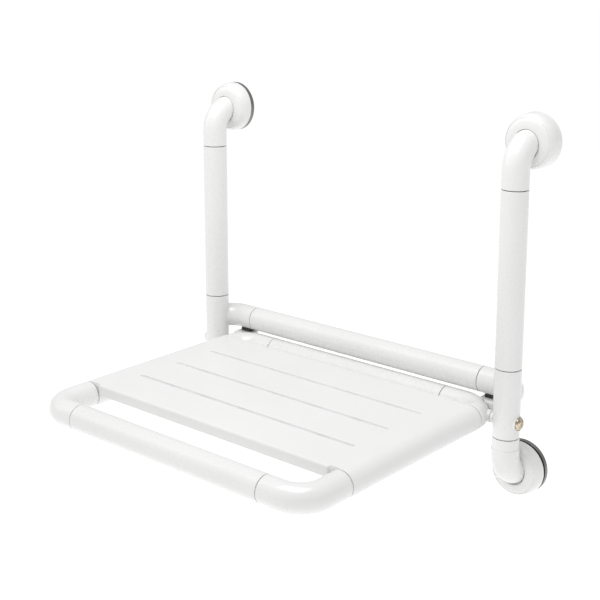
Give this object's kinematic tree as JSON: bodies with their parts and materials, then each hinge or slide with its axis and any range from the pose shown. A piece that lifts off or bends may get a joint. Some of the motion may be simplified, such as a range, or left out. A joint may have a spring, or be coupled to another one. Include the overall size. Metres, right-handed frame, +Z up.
{
  "type": "fold-up shower seat",
  "caption": "Wall-mounted fold-up shower seat: white nylon-clad posts and crossbar on round wall flanges, with a hinged seat frame and a slotted moulded panel.",
  "frame": {"origin": "on the wall face, midway between the posts, at the height of the two lower wall flanges", "axes": "+X along the wall to the right as seen from the room, +Y into the wall, +Z up; the seat stands out along -Y"},
  "size_m": [0.588, 0.4155, 0.504],
  "materials": {
    "white_nylon": "moulded white nylon, satin gloss",
    "panel_nylon": "moulded white nylon, fine satin",
    "grey_nylon": "light grey nylon, matte",
    "dark_rubber": "black rubber pad",
    "plate_steel": "dark stainless steel",
    "tube_steel": "drawn stainless tube",
    "bolt_steel": "polished stainless steel",
    "screw_steel": "plain stainless steel"
  },
  "bodies": {
    "wall_frame": {"wall_plate_lower_left": "plate_steel", "wall_screw_lower_left_1": "screw_steel", "wall_screw_lower_left_2": "screw_steel", "wall_screw_lower_left_3": "screw_steel", "flange_cover_lower_left": "white_nylon", "wall_elbow_lower_left": "white_nylon", "wall_plate_upper_left": "plate_steel", "wall_screw_upper_left_1": "screw_steel", "wall_screw_upper_left_2": "screw_steel", "wall_screw_upper_left_3": "screw_steel", "flange_cover_upper_left": "white_nylon", "wall_elbow_upper_left": "white_nylon", "wall_plate_lower_right": "plate_steel", "wall_screw_lower_right_1": "screw_steel", "wall_screw_lower_right_2": "screw_steel", "wall_screw_lower_right_3": "screw_steel", "flange_cover_lower_right": "white_nylon", "wall_elbow_lower_right": "white_nylon", "wall_plate_upper_right": "plate_steel", "wall_screw_upper_right_1": "screw_steel", "wall_screw_upper_right_2": "screw_steel", "wall_screw_upper_right_3": "screw_steel", "flange_cover_upper_right": "white_nylon", "wall_elbow_upper_right": "white_nylon", "post_core_left": "tube_steel", "post_sleeve_left": "white_nylon", "post_tee_left": "white_nylon", "pivot_bolt_left": "bolt_steel", "pivot_nut_left": "bolt_steel", "pivot_spacer_left": "white_nylon", "pivot_bush_left": "grey_nylon", "seat_stop_left": "dark_rubber", "post_core_right": "tube_steel", "post_sleeve_right": "white_nylon", "post_tee_right": "white_nylon", "pivot_bolt_right": "bolt_steel", "pivot_nut_right": "bolt_steel", "pivot_spacer_right": "white_nylon", "pivot_bush_right": "grey_nylon", "seat_stop_right": "dark_rubber", "crossbar_sleeve": "white_nylon", "crossbar_core": "tube_steel"},
    "seat": {"seat_core": "tube_steel", "front_bar_sleeve": "white_nylon", "rear_bar_sleeve": "white_nylon", "front_elbow_left": "white_nylon", "front_elbow_right": "white_nylon", "rear_elbow_left": "white_nylon", "rear_elbow_right": "white_nylon", "stop_lug_left": "white_nylon", "stop_lug_right": "white_nylon", "seat_panel": "panel_nylon", "panel_screw_left_1": "screw_steel", "panel_screw_left_2": "screw_steel", "panel_screw_left_3": "screw_steel", "panel_screw_right_1": "screw_steel", "panel_screw_right_2": "screw_steel", "panel_screw_right_3": "screw_steel"}
  },
  "joints": [
    {"name": "seat_fold", "type": "hinge", "parent": "wall_frame", "child": "seat", "pos_m": [0, -0.048, 0.076], "axis": [-1, 0, 0], "range_deg": [0, 78]}
  ]
}
